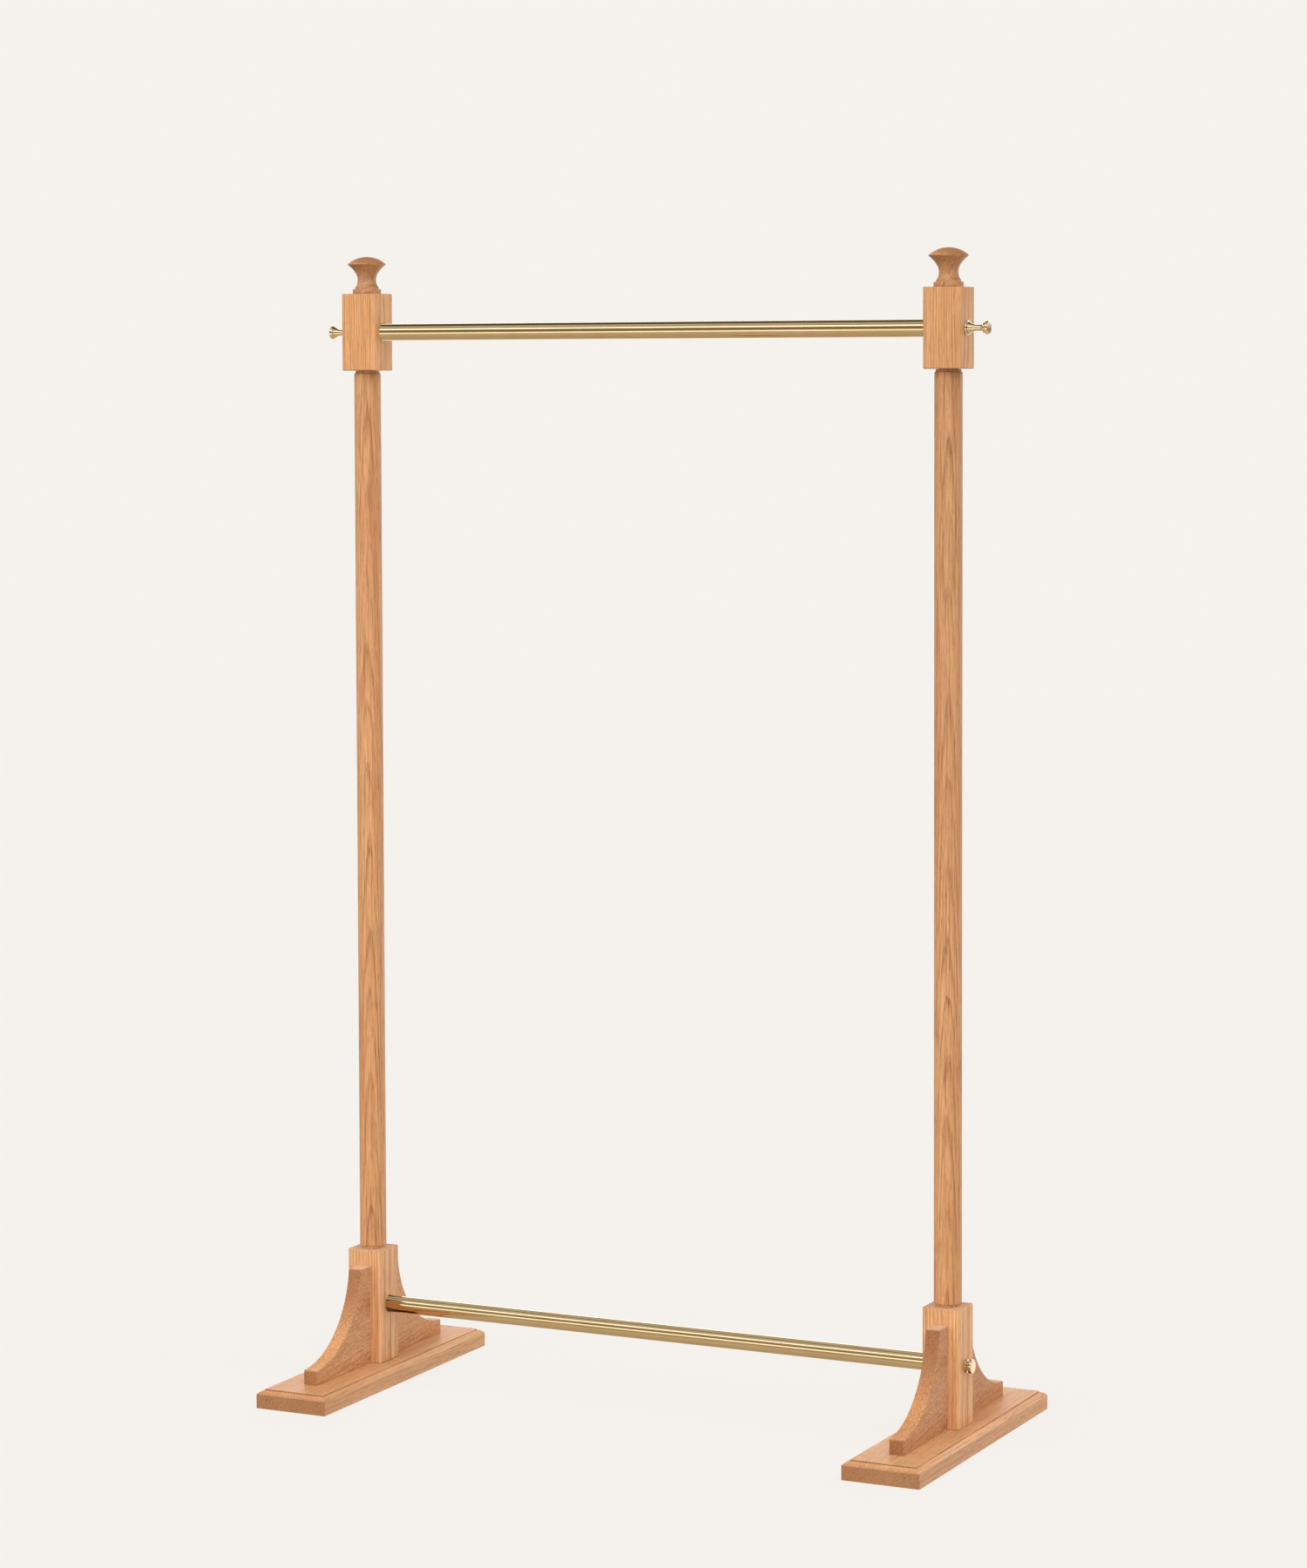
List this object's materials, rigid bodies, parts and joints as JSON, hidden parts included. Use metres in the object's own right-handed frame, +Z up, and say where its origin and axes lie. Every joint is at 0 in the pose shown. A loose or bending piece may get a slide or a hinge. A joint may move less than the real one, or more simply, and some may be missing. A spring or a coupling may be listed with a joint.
{
  "type": "free-standing garment rail",
  "caption": "Free-standing oak garment rail: moulded feet with curved brackets, square blocks, round poles and turned finials, joined by brass rails that screw-on brass knobs draw up.",
  "frame": {"origin": "on the floor, midway between the two uprights, under the rails", "axes": "X along the rails with +X to the right upright, Y from front to back with +Y back, Z up"},
  "size_m": [0.937, 0.437, 1.5],
  "materials": {
    "oak": "satin",
    "pole_oak": "satin",
    "beech": "matte",
    "brass_satin": "satin",
    "brass_polished": "polished",
    "steel": "brushed"
  },
  "bodies": {
    "frame": {"left_base_plate": "oak", "left_lower_block": "oak", "left_front_bracket": "oak", "left_back_bracket": "oak", "left_pole": "pole_oak", "left_upper_block": "oak", "left_finial": "oak", "left_finial_screw": "steel", "left_base_bolt": "steel", "left_base_bolt_washer": "steel", "left_block_insert": "steel", "left_front_bracket_screw": "steel", "left_front_bracket_dowel": "beech", "left_back_bracket_screw": "steel", "left_back_bracket_dowel": "beech", "right_base_plate": "oak", "right_lower_block": "oak", "right_front_bracket": "oak", "right_back_bracket": "oak", "right_pole": "pole_oak", "right_upper_block": "oak", "right_finial": "oak", "right_finial_screw": "steel", "right_base_bolt": "steel", "right_base_bolt_washer": "steel", "right_block_insert": "steel", "right_front_bracket_screw": "steel", "right_front_bracket_dowel": "beech", "right_back_bracket_screw": "steel", "right_back_bracket_dowel": "beech", "upper_rail": "brass_satin", "upper_left_rail_plug": "steel", "upper_right_rail_plug": "steel", "lower_rail": "brass_satin", "lower_left_rail_plug": "steel", "lower_right_rail_plug": "steel"},
    "upper_left_washer": {"upper_left_knob_washer": "brass_polished"},
    "upper_left_knob": {"upper_left_knob": "brass_polished", "upper_left_knob_stud": "steel"},
    "upper_right_washer": {"upper_right_knob_washer": "brass_polished"},
    "upper_right_knob": {"upper_right_knob": "brass_polished", "upper_right_knob_stud": "steel"},
    "lower_left_washer": {"lower_left_knob_washer": "brass_polished"},
    "lower_left_knob": {"lower_left_knob": "brass_polished", "lower_left_knob_stud": "steel"},
    "lower_right_washer": {"lower_right_knob_washer": "brass_polished"},
    "lower_right_knob": {"lower_right_knob": "brass_polished", "lower_right_knob_stud": "steel"}
  },
  "joints": [
    {"name": "upper_left_travel", "type": "slide", "parent": "frame", "child": "upper_left_washer", "axis": [-1, 0, 0], "range_m": [0, 0.01]},
    {"name": "upper_left_turn", "type": "hinge", "parent": "upper_left_washer", "child": "upper_left_knob", "pos_m": [-0.4395, 0, 1.4], "axis": [-1, 0, 0], "range_deg": [0, 3600]},
    {"name": "upper_right_travel", "type": "slide", "parent": "frame", "child": "upper_right_washer", "axis": [1, 0, 0], "range_m": [0, 0.01]},
    {"name": "upper_right_turn", "type": "hinge", "parent": "upper_right_washer", "child": "upper_right_knob", "pos_m": [0.4395, 0, 1.4], "axis": [1, 0, 0], "range_deg": [0, 3600]},
    {"name": "lower_left_travel", "type": "slide", "parent": "frame", "child": "lower_left_washer", "axis": [-1, 0, 0], "range_m": [0, 0.01]},
    {"name": "lower_left_turn", "type": "hinge", "parent": "lower_left_washer", "child": "lower_left_knob", "pos_m": [-0.4395, 0, 0.101], "axis": [-1, 0, 0], "range_deg": [0, 3600]},
    {"name": "lower_right_travel", "type": "slide", "parent": "frame", "child": "lower_right_washer", "axis": [1, 0, 0], "range_m": [0, 0.01]},
    {"name": "lower_right_turn", "type": "hinge", "parent": "lower_right_washer", "child": "lower_right_knob", "pos_m": [0.4395, 0, 0.101], "axis": [1, 0, 0], "range_deg": [0, 3600]}
  ],
  "couplings": [
    {"joint": "upper_left_turn", "follows": "upper_left_travel", "rad_per_m": 6283.1},
    {"joint": "upper_right_turn", "follows": "upper_right_travel", "rad_per_m": 6283.1},
    {"joint": "lower_left_turn", "follows": "lower_left_travel", "rad_per_m": 6283.1},
    {"joint": "lower_right_turn", "follows": "lower_right_travel", "rad_per_m": 6283.1}
  ]
}
